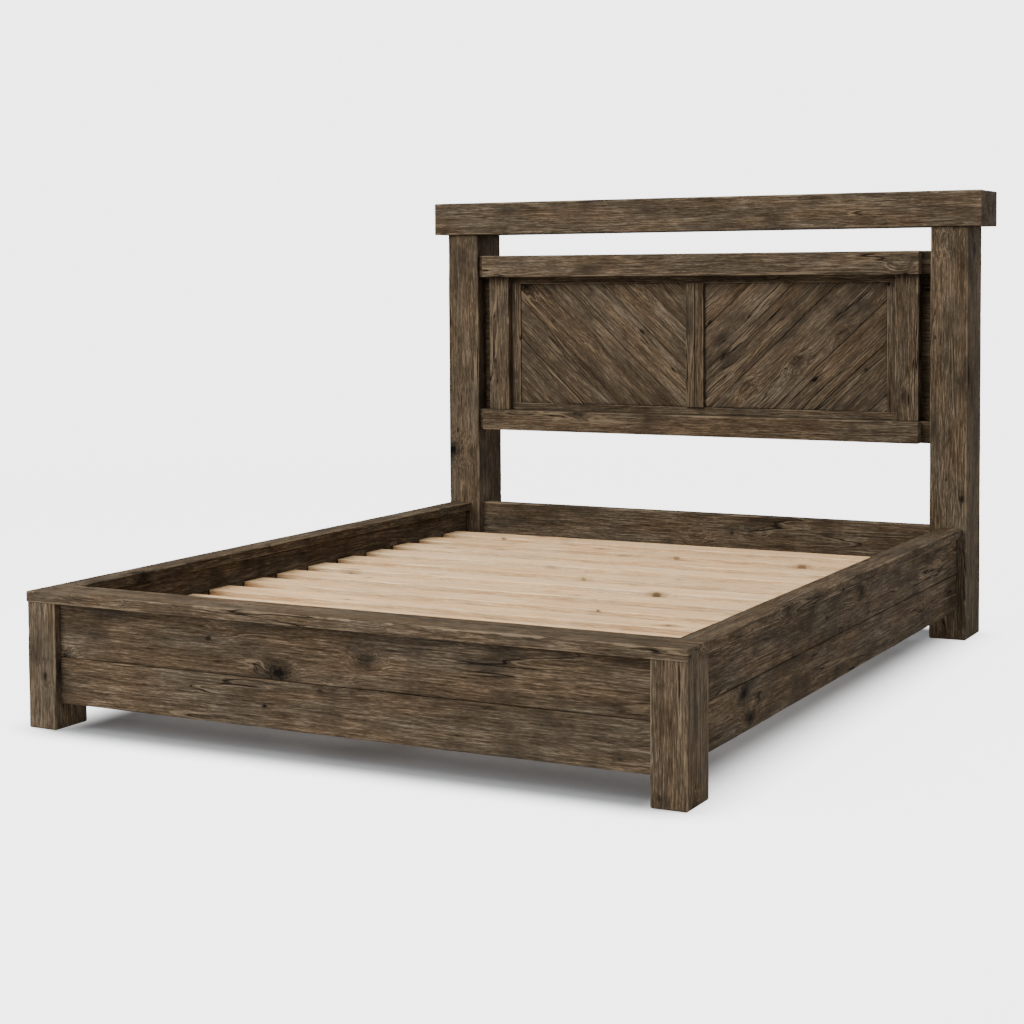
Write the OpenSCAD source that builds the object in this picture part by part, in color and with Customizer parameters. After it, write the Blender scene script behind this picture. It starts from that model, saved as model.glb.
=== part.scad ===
// Rustic wooden bed frame with a chevron headboard, low footboard and slatted deck.
// Millimetres. +X is right and +Y runs from the foot to the headboard, seen from the foot.
// The origin is on the floor, at the centre of the frame's own box.

/* [Mattress] */
// Width of the mattress that the frame holds
mattress_w = 1600; // [1300:10:2000]
// Length of the mattress
mattress_l = 2000; // [1600:10:2400]
// Gap left around the mattress on every side
mattress_gap = 5; // [2:1:15]
// Height of the slats' top above the floor
deck_h = 250; // [235:1:290]

/* [Low frame] */
// Thickness of the cap boards on the footboard and side rails
cap_t = 27; // [18:1:40]
// Height of the underside of the caps above the floor
cap_h = 314; // [310:1:380]
// Width of the side rail's cap board
side_cap_w = 68; // [60:1:100]
// How far the caps stand out past the foot legs
cap_over = 2; // [1:1:6]
// Width of a foot leg, across the bed
leg_w = 84; // [80:1:120]
// Depth of a foot leg, along the bed
leg_d = 116; // [105:1:160]
// Thickness of the footboard and side rail boards
board_t = 32; // [24:1:44]
// How far the footboard's boards lie behind the leg fronts
foot_board_inset = 21; // [10:1:30]
// Clearance from the floor to the footboard's boards
foot_board_h = 67; // [50:1:120]
// Height of the seam between the footboard's two boards
foot_seam_h = 181; // [150:1:240]
// How far the side boards lie inside the foot legs' outer faces
side_board_inset = 14; // [6:1:20]
// Clearance from the floor to the side boards
side_board_h = 94; // [60:1:110]
// Height of the seam between the two side boards
side_seam_h = 204; // [200:1:208]

/* [Headboard] */
// Width of a headboard post, across the bed
post_w = 113; // [95:1:150]
// Depth of a headboard post, along the bed
post_d = 162; // [120:1:220]
// How far the posts stand out sideways past the foot legs
post_step = 15; // [5:1:40]
// Height of the underside of the top beam
beam_h = 1245; // [1200:1:1500]
// Thickness of the top beam
beam_t = 106; // [70:1:140]
// How far the top beam overhangs each post sideways
beam_over = 44; // [10:1:80]
// How far the top beam stands out in front of the posts
beam_front = 15; // [5:1:30]
// How far the top beam stands out behind the posts
beam_back = 8; // [2:1:20]
// Open gap between the top beam and the panel
beam_gap = 72; // [40:1:110]
// Height of the panel's top rail
top_rail_w = 71; // [50:1:90]
// Height of the underside of the panel's bottom rail
panel_h = 592; // [560:1:650]
// Height of the panel's bottom rail
bottom_rail_w = 66; // [50:1:90]
// Thickness of the board on the front of each rail
rail_face_t = 36; // [24:1:44]
// How far the rail fronts stand out past the post fronts
rail_proud = 24; // [10:1:26]
// Thickness of the rail that runs into the posts
rail_core_t = 53; // [44:1:90]
// Depth of the rail's tenon in a post
tenon_l = 40; // [20:1:60]
// Gap between a rail's front board and the post
rail_end_gap = 29; // [10:1:50]
// Width of a panel stile
stile_w = 72; // [50:1:100]
// How far the stiles lie inside the ends of the rail boards
stile_inset = 10; // [0:1:20]
// Width of the moulding strips above and below the chevron boards
moulding_w = 23; // [12:1:30]
// Width of the moulding strips beside the chevron boards
moulding_side_w = 32; // [12:1:40]
// Width of the two strips between the chevron panels, together
muntin_w = 60; // [40:1:100]
// Groove between those two strips
muntin_groove = 2; // [1:0.5:4]
// Angle of the chevron boards above level
chevron_angle = 43; // [35:1:55]
// Thickness of a chevron board
chevron_t = 14; // [8:1:18]
// Seam between two chevron boards
chevron_seam = 1; // [0.5:0.5:3]
// Thickness of the board behind the chevron
back_panel_t = 12; // [6:1:16]
// Height of the underside of the low rail between the posts
low_rail_h = 120; // [90:1:130]

/* [Deck] */
// Number of slats
slat_count = 12; // [10:1:12]
// Width of a slat
slat_w = 90; // [70:1:110]
// Thickness of a slat
slat_t = 20; // [15:1:25]
// Width of the ledger that carries the slats
ledger_w = 35; // [30:1:40]
// Height of the ledger
ledger_t = 45; // [44:1:60]
// Width of the centre beam and of its legs
centre_w = 50; // [45:1:70]
// Height of the centre beam
centre_beam_t = 90; // [70:1:90]

/* [Hardware] */
// Radius of a levelling foot's threaded stem
stem_r = 5; // [4:0.5:6]
// Radius of a levelling foot's pad
pad_r = 25; // [20:1:32]
// Thickness of the plastic glides under the posts and legs
glide_t = 3; // [2:0.5:5]
// Radius of a glide
glide_r = 14; // [10:1:20]
// Thickness of the steel plates and hangers
plate_t = 3; // [2:0.5:4]
// Radius of the dowels between the posts and the top beam
dowel_r = 10; // [6:1:14]

/* [Hidden] */
$fn = 48;

// Finishes
wood_brown = "#4b3c2e";
wood_dark = "#3a2e24";
wood_pale = "#b89b6e";
steel_zinc = "#9a9a98";
plastic_black = "#1c1c1c";

// Small working sizes
ease = 2;               // softened edge on the thick pieces
fine_ease = 1;          // softened edge on slats, strips and boards
fit = 0.05;             // radial clearance of a fastener or dowel in its hole
mortise_fit = 0.1;      // clearance of a tenon in its mortise, on each face
foot_chamfer = 6;       // chamfer round the bottom of a post or leg
end_play = 1;           // clearance at the end of a hole
strip_joint = 0.3;      // open joint where two strips of moulding meet
reach = 2000;           // longer than any chevron board

// Places along the bed
recess_l = mattress_l + 2 * mattress_gap;
frame_l = cap_over + leg_d + recess_l + post_d + beam_back;
leg_front = cap_over - frame_l / 2;
leg_back = leg_front + leg_d;
post_front = leg_back + recess_l;
post_back = post_front + post_d;

// Places across the bed, as distances from the centre line
recess_half = mattress_w / 2 + mattress_gap;
cap_out = recess_half + side_cap_w;
leg_out = cap_out - cap_over;
leg_in = leg_out - leg_w;
side_board_out = leg_out - side_board_inset;
side_board_in = side_board_out - board_t;
side_board_mid = side_board_out - board_t / 2;
post_out = leg_out + post_step;
post_in = post_out - post_w;
ledger_in = side_board_in - ledger_w;
ledger_mid = side_board_in - ledger_w / 2;

// Heights
cap_top = cap_h + cap_t;
beam_top = beam_h + beam_t;
top_rail_top = beam_h - beam_gap;
top_rail_h = top_rail_top - top_rail_w;
bottom_rail_top = panel_h + bottom_rail_w;
slat_bottom = deck_h - slat_t;
centre_beam_bottom = slat_bottom - centre_beam_t;
foot_board_back = leg_front + foot_board_inset + board_t;
inner_rail_t = 32;
inner_rail_back = foot_board_back + inner_rail_t;
inner_rail_drop = 10;   // how far the inner rail reaches below the centre beam
inner_rail_h = centre_beam_bottom - inner_rail_drop;
low_rail_set_back = 30; // from the post fronts
low_rail_front = post_front + low_rail_set_back;
low_rail_t = 40;

// Layers of the panel, as places along the bed
rail_face_front = post_front - rail_proud;
rail_core_front = rail_face_front + rail_face_t;
rail_core_back = rail_core_front + rail_core_t;
back_panel_front = rail_core_back - back_panel_t;
chevron_front = back_panel_front - chevron_t;
stile_proud = 2;        // in front of the rail cores
moulding_proud = 4;     // in front of the chevron boards
muntin_proud = 12;      // in front of the chevron boards
stile_front = rail_core_front - stile_proud;
moulding_front = chevron_front - moulding_proud;
muntin_front = chevron_front - muntin_proud;
rail_face_half = post_in - rail_end_gap;
stile_out = rail_face_half - stile_inset;
stile_in = stile_out - stile_w;
panel_half = stile_in - moulding_side_w;
panel_low = bottom_rail_top + moulding_w;
panel_top = top_rail_h - moulding_w;
panel_wide = panel_half - muntin_w / 2;
// Widths of the chevron boards, from the centre's top corner outwards
chevron_widths = [108, 98, 97, 145, 94, 118, 110, 96, 130, 104, 120, 100];
chevron_least = 12;     // a board narrower than this at the corner is left to its neighbour
chevron_spare = 20;     // how far the corner board runs past the corner before it is cut

// Tenons
core_shoulder_y = 6;    // shoulders of a rail core's tenon, front and back
core_shoulder_z = 8;    // and above and below
low_shoulder_y = 6;     // shoulders of the low rail's tenon, front and back
low_shoulder_z = 15;    // and above and below

// Dowels and glides
dowel_l = 100;
leg_glide_inset = 28;   // from a leg's front or back face to the glide's centre
post_glide_inset = 40;  // from a post's front or back face to the glide's centre

// Slats and screws
slat_gap = (recess_l - slat_count * slat_w) / (slat_count + 1);
slat_play = 3;          // between a slat's end and the side board
slat_half = side_board_in - slat_play;
screw_r = 2.2;
screw_head_r = 4.4;
screw_head_t = 2.6;
deck_screw_l = 40;
ledger_screw_bite = 15; // how deep a ledger screw goes into the side board
ledger_screw_l = ledger_w + ledger_screw_bite;
ledger_screw_rise = [12, -9]; // above the side boards' seam, in turn
bracket_screw_l = 22;

// Hook plates: a plate on each rail end hooks into a plate on each post
hook_z = (side_board_h + cap_h) / 2;
hook_plate_w = 22;
hook_plate_l = 170;
hook_rise = 45;
hook_screw_rise = 76;
hook_t = 3;
hook_slot_w = hook_t + 1;
hook_neck = 6;
hook_reach = 12;
hook_drop = 16;         // how far a hook's tip hangs below its middle
hook_crown = 8;         // how far a hook rises above its middle
hook_play = 0.5;        // between a hook and the back of the post's plate
hook_rest_gap = 0.2;    // between a hook's neck and the slot's lower edge
hook_slot_h = 25;
hook_pocket_play = 3;   // room past the hook's reach
hook_pocket_drop = 20;  // how far the pocket reaches below the hook's middle
hook_pocket_h = 42;

// Hangers of the centre beam
hanger_w = centre_w + 2 * plate_t;
hanger_flange = 24;
hanger_l = 50;
hanger_low = 8;         // how far a hanger ends below the beam's top
hanger_screw_rise = [0.3, 0.75]; // as shares of the beam's height

// Centre legs and levelling feet
leg_places = [for (k = [1 : 3]) leg_back + recess_l * k / 4];
leg_plate_l = 130;
leg_plate_bolt = 50;
leg_stud_r = 4;
leg_stud_l = 40;
leg_plate_t = 4;
leg_top = centre_beam_bottom - leg_plate_t;
leg_bottom = 40;
tee_flange_r = stem_r + 6;
tee_flange_t = 1.5;
tee_barrel_r = stem_r + 2;
tee_barrel_l = 14;
stem_bottom = 4.3;
stem_play = 0.6;        // radial clearance of a stem in its leg's bore
stem_top = 76;
stem_bore_top = 92;
collar_bottom = 16;
collar_t = 7;
collar_r = stem_r + 4.8;
pad_t = 13;
pad_socket_h = 4;
pad_top_r = stem_r + 9;
glide_pin_r = 1.6;
glide_pin_l = 16;

// ---------- shapes used by several pieces ----------

// A straight piece of wood from one corner to the other, its long edges softened
module bar(low, high, along, soft = fine_ease) {
    size = high - low;
    a = along == "x" ? size[1] : size[0];
    b = along == "z" ? size[1] : size[2];
    outline = [
        [soft, 0], [a - soft, 0], [a, soft], [a, b - soft],
        [a - soft, b], [soft, b], [0, b - soft], [0, soft]
    ];
    if (along == "x")
        translate(low) rotate([90, 0, 90]) linear_extrude(size[0]) polygon(outline);
    if (along == "y")
        translate([low[0], high[1], low[2]]) rotate([90, 0, 0])
            linear_extrude(size[1]) polygon(outline);
    if (along == "z")
        translate(low) linear_extrude(size[2]) polygon(outline);
}

// An upright piece whose foot is chamfered all round
module footed_bar(low, high) {
    c = foot_chamfer;
    size = high - low;
    intersection() {
        bar(low, high, "z", ease);
        translate([low[0], high[1], low[2]]) rotate([90, 0, 0]) linear_extrude(size[1])
            polygon([[c, 0], [size[0] - c, 0], [size[0], c],
                     [size[0], size[2]], [0, size[2]], [0, c]]);
        translate(low) rotate([90, 0, 90]) linear_extrude(size[0])
            polygon([[c, 0], [size[1] - c, 0], [size[1], c],
                     [size[1], size[2]], [0, size[2]], [0, c]]);
    }
}

// A countersunk screw whose head is flush at z = 0 and whose tip points down
module screw(long, grow = 0) {
    translate([0, 0, -long - grow]) cylinder(r = screw_r + grow, h = long + grow);
    translate([0, 0, -screw_head_t])
        cylinder(r1 = screw_r + grow, r2 = screw_head_r + grow, h = screw_head_t);
}

// The left side is the right side mirrored in the bed's centre line
module on_side(side) {
    if (side > 0) children();
    else mirror([1, 0, 0]) children();
}

// ---------- places of the fasteners ----------

module deck_screws_at_slats(k, grow = 0) {
    y = leg_back + slat_gap + k * (slat_w + slat_gap) + slat_w / 2;
    for (x = [-ledger_mid, 0, ledger_mid])
        translate([x, y, deck_h]) screw(deck_screw_l, grow);
}

module ledger_screws(grow = 0) {
    for (k = [1 : slat_count - 1]) {
        y = leg_back + slat_gap / 2 + k * (slat_w + slat_gap);
        z = side_seam_h + ledger_screw_rise[k % 2];
        translate([ledger_in, y, z]) rotate([0, -90, 0]) screw(ledger_screw_l, grow);
    }
}

// Screws of the right-hand hook plates, which lie face to face and point away from each other
module hook_screws(grow = 0) {
    for (rise = [-hook_screw_rise, 0, hook_screw_rise])
        for (face = [leg_back, post_front], way = [1, -1])
            translate([side_board_mid, face, hook_z + rise])
                rotate([way * 90, 0, 0]) screw(bracket_screw_l, grow);
}

module leg_plate_screws(y, grow = 0) {
    for (way = [-1, 1])
        translate([0, y + way * leg_plate_bolt, leg_top]) rotate([180, 0, 0])
            screw(bracket_screw_l, grow);
}

module hanger_screws(grow = 0) {
    for (end = [[inner_rail_back, 1], [low_rail_front, -1]])
        for (x = [-1, 1], z = hanger_screw_rise)
            translate([x * (hanger_w + hanger_flange) / 2, end[0] + end[1] * plate_t,
                       centre_beam_bottom + z * centre_beam_t])
                rotate([-90 * end[1], 0, 0]) screw(bracket_screw_l, grow);
}

module dowels(grow = 0) {
    for (side = [-1, 1], way = [-1, 1])
        translate([side * (post_in + post_out) / 2, (post_front + post_back) / 2 + way * post_d / 4,
                   beam_h - dowel_l / 2 - grow])
            cylinder(r = dowel_r + grow, h = dowel_l + 2 * grow);
}

// ---------- headboard ----------

// A tongue that runs from one post to the other through a rail; when it is grown it cuts the
// mortises, with room at each end
module tongue(y0, y1, z0, z1, grow = 0) {
    half = post_in + tenon_l + (grow > 0 ? end_play : 0);
    translate([-half, y0 - grow, z0 - grow])
        cube([2 * half, y1 - y0 + 2 * grow, z1 - z0 + 2 * grow]);
}

module core_tongue(low, high, grow = 0)
    tongue(rail_core_front + core_shoulder_y, rail_core_back - core_shoulder_y,
           low + core_shoulder_z, high - core_shoulder_z, grow);

module low_rail_tongue(grow = 0)
    tongue(low_rail_front + low_shoulder_y, low_rail_front + low_rail_t - low_shoulder_y,
           low_rail_h + low_shoulder_z, cap_top - low_shoulder_z, grow);

module glide_pins(x, y0, y1, grow = 0) {
    for (y = [y0, y1])
        translate([x, y, 0]) cylinder(r = glide_pin_r + grow, h = glide_t + glide_pin_l + grow);
}

module head_post(side) {
    color(wood_brown) difference() {
        on_side(side) footed_bar([post_in, post_front, glide_t], [post_out, post_back, beam_h]);
        dowels(fit);
        core_tongue(top_rail_h, top_rail_top, mortise_fit);
        core_tongue(panel_h, bottom_rail_top, mortise_fit);
        low_rail_tongue(mortise_fit);
        on_side(side) hook_pocket(post_front, 1);
        on_side(side) hook_screws(fit);
        on_side(side) glide_pins((post_in + post_out) / 2, post_front + post_glide_inset,
                                 post_back - post_glide_inset, fit);
    }
}

module top_beam() {
    color(wood_brown) difference() {
        bar([-post_out - beam_over, post_front - beam_front, beam_h],
            [post_out + beam_over, post_back + beam_back, beam_top], "x", ease);
        dowels(fit);
    }
}

module beam_dowels() color(wood_pale) dowels();

module rail_core(low, high) {
    color(wood_dark) {
        bar([-post_in, rail_core_front, low], [post_in, rail_core_back, high], "x");
        core_tongue(low, high);
    }
}

module rail_face(low, high) {
    color(wood_brown)
        bar([-rail_face_half, rail_face_front, low], [rail_face_half, rail_core_front, high],
            "x", ease);
}

module stile(side) {
    color(wood_brown) on_side(side)
        bar([stile_in, stile_front, bottom_rail_top], [stile_out, back_panel_front, top_rail_h],
            "z");
}

module muntin_strips() {
    color(wood_brown) for (side = [-1, 1]) on_side(side)
        bar([muntin_groove / 2, muntin_front, panel_low], [muntin_w / 2, back_panel_front, panel_top],
            "z");
}

module panel_moulding() {
    color(wood_brown) {
        for (z = [bottom_rail_top, panel_top])
            bar([-stile_in, moulding_front, z], [stile_in, back_panel_front, z + moulding_w], "x");
        for (side = [-1, 1]) on_side(side)
            bar([panel_half, moulding_front, panel_low + strip_joint],
                [stile_in, back_panel_front, panel_top - strip_joint], "z");
    }
}

// Running total of the first n chevron board widths
function chevron_start(n) = n == 0 ? 0 : chevron_start(n - 1) + chevron_widths[n - 1];

// Boards that rise outwards from the centre, cut to the panel's opening
module chevron_boards(side) {
    across = panel_wide * sin(chevron_angle) + (panel_top - panel_low) * cos(chevron_angle);
    last = len(chevron_widths) - 1;
    color(wood_brown) on_side(side)
        for (k = [0 : last])
            if (chevron_start(k) + chevron_least < across)
                intersection() {
                    translate([muntin_w / 2, chevron_front, panel_low])
                        cube([panel_wide, chevron_t, panel_top - panel_low]);
                    translate([muntin_w / 2, chevron_front, panel_top])
                        rotate([0, -chevron_angle, 0])
                            translate([-reach / 2, 0, -chevron_end(k, across) + chevron_seam / 2])
                                cube([reach, chevron_t,
                                      chevron_end(k, across) - chevron_start(k) - chevron_seam]);
                }
}

// A board's far edge; the last one that starts inside the panel fills its corner
function chevron_end(k, across) =
    chevron_start(k + 1) + chevron_least < across ? chevron_start(k + 1) : across + chevron_spare;

module headboard_back_panel() {
    color(wood_dark)
        translate([-post_in, back_panel_front, bottom_rail_top])
            cube([2 * post_in, back_panel_t, top_rail_h - bottom_rail_top]);
}

module low_head_rail() {
    color(wood_brown) difference() {
        union() {
            bar([-post_in, low_rail_front, low_rail_h],
                [post_in, low_rail_front + low_rail_t, cap_top], "x", ease);
            low_rail_tongue();
        }
        hanger_screws(fit);
    }
}

// ---------- footboard ----------

module foot_leg(side) {
    color(wood_brown) on_side(side) difference() {
        footed_bar([leg_in, leg_front, glide_t], [leg_out, leg_back, cap_h]);
        hook_pocket(leg_back, -1);
        hook_screws(fit);
        glide_pins((leg_in + leg_out) / 2, leg_front + leg_glide_inset,
                   leg_back - leg_glide_inset, fit);
    }
}

module foot_cap() {
    color(wood_brown)
        bar([-cap_out, leg_front - cap_over, cap_h], [cap_out, leg_back, cap_top], "x", ease);
}

module foot_board(low, high) {
    color(wood_brown)
        bar([-leg_in, leg_front + foot_board_inset, low], [leg_in, foot_board_back, high], "x");
}

module foot_inner_rail() {
    color(wood_dark) difference() {
        bar([-leg_in, foot_board_back, inner_rail_h], [leg_in, inner_rail_back, cap_h], "x");
        hanger_screws(fit);
    }
}

// ---------- side rails ----------

module side_cap(side) {
    color(wood_brown) on_side(side)
        bar([recess_half, leg_back, cap_h], [cap_out, post_front, cap_top], "y", ease);
}

module side_board(side, low, high) {
    color(wood_brown) on_side(side) difference() {
        bar([side_board_in, leg_back, low], [side_board_out, post_front, high], "y");
        for (y = [leg_back, post_front - plate_t]) hook_plate_blank(y);
        hook_screws(fit);
        ledger_screws(fit);
    }
}

module slat_ledger(side) {
    color(wood_pale) difference() {
        on_side(side)
            bar([ledger_in, leg_back, slat_bottom - ledger_t], [side_board_in, post_front, slat_bottom],
                "y");
        on_side(side) ledger_screws(fit);
        for (k = [0 : slat_count - 1]) deck_screws_at_slats(k, fit);
    }
}

// ---------- rail hooks ----------

// The outline of a hook plate, also the shallow recess that it lies in
module hook_plate_blank(y) {
    translate([side_board_mid - hook_plate_w / 2, y, hook_z - hook_plate_l / 2])
        cube([hook_plate_w, plate_t, hook_plate_l]);
}

// Recess and hook pockets in a post or leg; way is the direction into the wood
module hook_pocket(face, way) {
    hook_plate_blank(way > 0 ? face : face - plate_t);
    deep = hook_reach + hook_pocket_play;
    for (rise = [-hook_rise, hook_rise])
        translate([side_board_mid - hook_slot_w, way > 0 ? face : face - deep,
                   hook_z + rise - hook_pocket_drop])
            cube([2 * hook_slot_w, deep, hook_pocket_h]);
}

// A hook that stands out of a rail end and drops behind the slot's lower edge
module hook(face, way, rise) {
    throat = plate_t + hook_play;
    outline = [
        [0, -hook_neck], [throat, -hook_neck], [throat, -hook_drop], [hook_reach, -hook_drop],
        [hook_reach, hook_crown], [0, hook_crown]
    ];
    translate([side_board_mid - hook_t / 2, face, hook_z + rise])
        rotate([90, 0, 90]) linear_extrude(hook_t)
            polygon([for (p = outline) [way * p[0], p[1]]]);
}

module rail_hook_plates() {
    color(steel_zinc) for (side = [-1, 1]) on_side(side) difference() {
        union() {
            hook_plate_blank(leg_back);
            hook_plate_blank(post_front - plate_t);
            for (rise = [-hook_rise, hook_rise]) {
                hook(leg_back, -1, rise);
                hook(post_front, 1, rise);
            }
        }
        hook_screws(fit);
    }
}

module post_hook_plates() {
    color(steel_zinc) for (side = [-1, 1]) on_side(side) difference() {
        union() {
            hook_plate_blank(leg_back - plate_t);
            hook_plate_blank(post_front);
        }
        hook_screws(fit);
        for (face = [leg_back - plate_t, post_front], rise = [-hook_rise, hook_rise])
            translate([side_board_mid - hook_slot_w / 2, face - 1,
                       hook_z + rise - hook_neck - hook_rest_gap])
                cube([hook_slot_w, plate_t + 2, hook_slot_h]);
    }
}

module bracket_screws() {
    color(steel_zinc) {
        for (side = [-1, 1]) on_side(side) hook_screws();
        for (y = leg_places) leg_plate_screws(y);
        hanger_screws();
    }
}

module deck_screws() {
    color(steel_zinc) {
        for (k = [0 : slat_count - 1]) deck_screws_at_slats(k);
        for (side = [-1, 1]) on_side(side) ledger_screws();
    }
}

// ---------- centre support ----------

module centre_beam() {
    color(wood_pale) difference() {
        bar([-centre_w / 2, inner_rail_back + plate_t, centre_beam_bottom],
            [centre_w / 2, low_rail_front - plate_t, slat_bottom], "y");
        for (k = [0 : slat_count - 1]) deck_screws_at_slats(k, fit);
        for (y = leg_places) leg_plate_screws(y, fit);
    }
}

// One U-shaped hanger; way is the direction from its rail to the beam
module beam_hanger(face, way) {
    y0 = way > 0 ? face : face - hanger_l;
    yp = way > 0 ? face : face - plate_t;
    low = centre_beam_bottom - plate_t;
    tall = centre_beam_t + plate_t - hanger_low;
    difference() {
        union() {
            translate([-hanger_w / 2, y0, low]) cube([hanger_w, hanger_l, tall]);
            translate([-hanger_w / 2 - hanger_flange, yp, low])
                cube([hanger_w + 2 * hanger_flange, plate_t, tall]);
        }
        translate([-centre_w / 2, way > 0 ? face + plate_t : face - hanger_l - 1,
                   centre_beam_bottom])
            cube([centre_w, hanger_l - plate_t + 1, centre_beam_t]);
    }
}

module beam_hangers() {
    color(steel_zinc) difference() {
        union() {
            beam_hanger(inner_rail_back, 1);
            beam_hanger(low_rail_front, -1);
        }
        hanger_screws(fit);
    }
}

module centre_leg(k) {
    y = leg_places[k];
    color(wood_pale) difference() {
        bar([-centre_w / 2, y - centre_w / 2, leg_bottom], [centre_w / 2, y + centre_w / 2, leg_top],
            "z");
        translate([0, y, leg_bottom - 1]) cylinder(r = tee_barrel_r + fit, h = tee_barrel_l + 1);
        translate([0, y, leg_bottom]) cylinder(r = stem_r + stem_play, h = stem_bore_top - leg_bottom);
        translate([0, y, leg_top - leg_stud_l - end_play])
            cylinder(r = leg_stud_r + fit, h = leg_stud_l + 2 * end_play);
    }
}

module leg_plates() {
    color(steel_zinc) for (y = leg_places) difference() {
        union() {
            translate([-centre_w / 2, y - leg_plate_l / 2, leg_top])
                cube([centre_w, leg_plate_l, leg_plate_t]);
            translate([0, y, leg_top - leg_stud_l]) cylinder(r = leg_stud_r, h = leg_stud_l + 1);
        }
        leg_plate_screws(y, fit);
    }
}

module tee_nuts() {
    color(steel_zinc) for (y = leg_places) difference() {
        union() {
            translate([0, y, leg_bottom]) cylinder(r = tee_barrel_r, h = tee_barrel_l);
            translate([0, y, leg_bottom - tee_flange_t]) cylinder(r = tee_flange_r, h = tee_flange_t);
        }
        translate([0, y, leg_bottom - 5]) cylinder(r = stem_r + fit, h = tee_barrel_l + 10);
    }
}

module leveller_stem(k) {
    color(steel_zinc) translate([0, leg_places[k], 0]) {
        translate([0, 0, stem_bottom]) cylinder(r = stem_r, h = stem_top - stem_bottom);
        translate([0, 0, collar_bottom]) cylinder(r = collar_r, h = collar_t, $fn = 6);
    }
}

module leveller_pad(k) {
    color(plastic_black) translate([0, leg_places[k], 0]) difference() {
        union() {
            cylinder(r = pad_r, h = pad_socket_h);
            translate([0, 0, pad_socket_h])
                cylinder(r1 = pad_r, r2 = pad_top_r, h = pad_t - pad_socket_h);
        }
        translate([0, 0, pad_socket_h]) cylinder(r = stem_r + fit, h = pad_t);
    }
}

module floor_glides() {
    color(plastic_black) for (side = [-1, 1])
        for (p = [[(leg_in + leg_out) / 2, leg_front + leg_glide_inset],
                  [(leg_in + leg_out) / 2, leg_back - leg_glide_inset],
                  [(post_in + post_out) / 2, post_front + post_glide_inset],
                  [(post_in + post_out) / 2, post_back - post_glide_inset]])
            translate([side * p[0], p[1], 0]) {
                cylinder(r = glide_r, h = glide_t);
                cylinder(r = glide_pin_r, h = glide_t + glide_pin_l);
            }
}

// ---------- deck ----------

module slat(k) {
    y = leg_back + slat_gap + k * (slat_w + slat_gap);
    if (k < slat_count)
        color(wood_pale) difference() {
            bar([-slat_half, y, slat_bottom], [slat_half, y + slat_w, deck_h], "x");
            deck_screws_at_slats(k, fit);
        }
}

head_post(-1);  // head_post_left
head_post(1);  // head_post_right
top_beam();
beam_dowels();
rail_core(top_rail_h, top_rail_top);  // top_rail_core
rail_face(top_rail_h, top_rail_top);  // top_rail_face
rail_core(panel_h, bottom_rail_top);  // bottom_rail_core
rail_face(panel_h, bottom_rail_top);  // bottom_rail_face
stile(-1);  // panel_stile_left
stile(1);  // panel_stile_right
muntin_strips();
panel_moulding();
chevron_boards(-1);  // chevron_boards_left
chevron_boards(1);  // chevron_boards_right
headboard_back_panel();
low_head_rail();
foot_leg(-1);  // foot_leg_left
foot_leg(1);  // foot_leg_right
foot_cap();
foot_board(foot_seam_h, cap_h);  // foot_board_upper
foot_board(foot_board_h, foot_seam_h);  // foot_board_lower
foot_inner_rail();
side_cap(-1);  // side_cap_left
side_cap(1);  // side_cap_right
side_board(-1, side_seam_h, cap_h);  // side_board_upper_left
side_board(1, side_seam_h, cap_h);  // side_board_upper_right
side_board(-1, side_board_h, side_seam_h);  // side_board_lower_left
side_board(1, side_board_h, side_seam_h);  // side_board_lower_right
slat_ledger(-1);  // slat_ledger_left
slat_ledger(1);  // slat_ledger_right
rail_hook_plates();
post_hook_plates();
bracket_screws();
deck_screws();
centre_beam();
beam_hangers();
centre_leg(0);  // centre_leg_1
centre_leg(1);  // centre_leg_2
centre_leg(2);  // centre_leg_3
leg_plates();
tee_nuts();
leveller_stem(0);  // leveller_stem_1
leveller_stem(1);  // leveller_stem_2
leveller_stem(2);  // leveller_stem_3
leveller_pad(0);  // leveller_pad_1
leveller_pad(1);  // leveller_pad_2
leveller_pad(2);  // leveller_pad_3
floor_glides();
slat(0);  // slat_01
slat(1);  // slat_02
slat(2);  // slat_03
slat(3);  // slat_04
slat(4);  // slat_05
slat(5);  // slat_06
slat(6);  // slat_07
slat(7);  // slat_08
slat(8);  // slat_09
slat(9);  // slat_10
slat(10);  // slat_11
slat(11);  // slat_12
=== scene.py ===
"""Rustic bed frame in weathered brown timber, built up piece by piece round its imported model."""
import math

import bpy
import numpy as np
from mathutils import Matrix, Vector


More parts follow.
